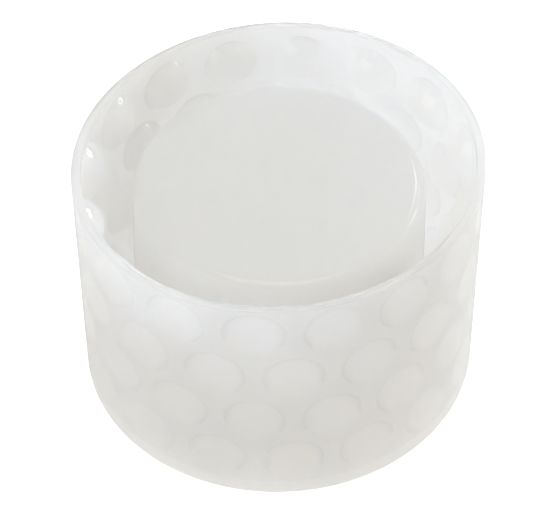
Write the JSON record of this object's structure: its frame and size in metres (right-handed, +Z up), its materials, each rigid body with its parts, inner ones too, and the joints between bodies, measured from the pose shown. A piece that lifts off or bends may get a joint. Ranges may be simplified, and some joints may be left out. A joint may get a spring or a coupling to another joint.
{
  "type": "resin casting mould",
  "caption": "Round silicone mould for casting a vessel with dimpled sides: thin outer wall lined with domes, and a hollow lift-out core.",
  "frame": {"origin": "centre of the underside, on the surface the mould stands on", "axes": "+Z up, out of the open pouring end; the top row's domes point along X and Y"},
  "size_m": [0.1, 0.1, 0.067],
  "materials": {
    "wall_silicone": "milky translucent silicone, satin outside and glossy inside",
    "core_silicone": "milky translucent silicone, satin"
  },
  "bodies": {
    "outer_mould": {"outer_mould": "wall_silicone"},
    "core": {"core": "core_silicone"}
  },
  "joints": [
    {"name": "core_lift", "type": "slide", "parent": "outer_mould", "child": "core", "axis": [0, 0, 1], "range_m": [0, 0.075]}
  ]
}
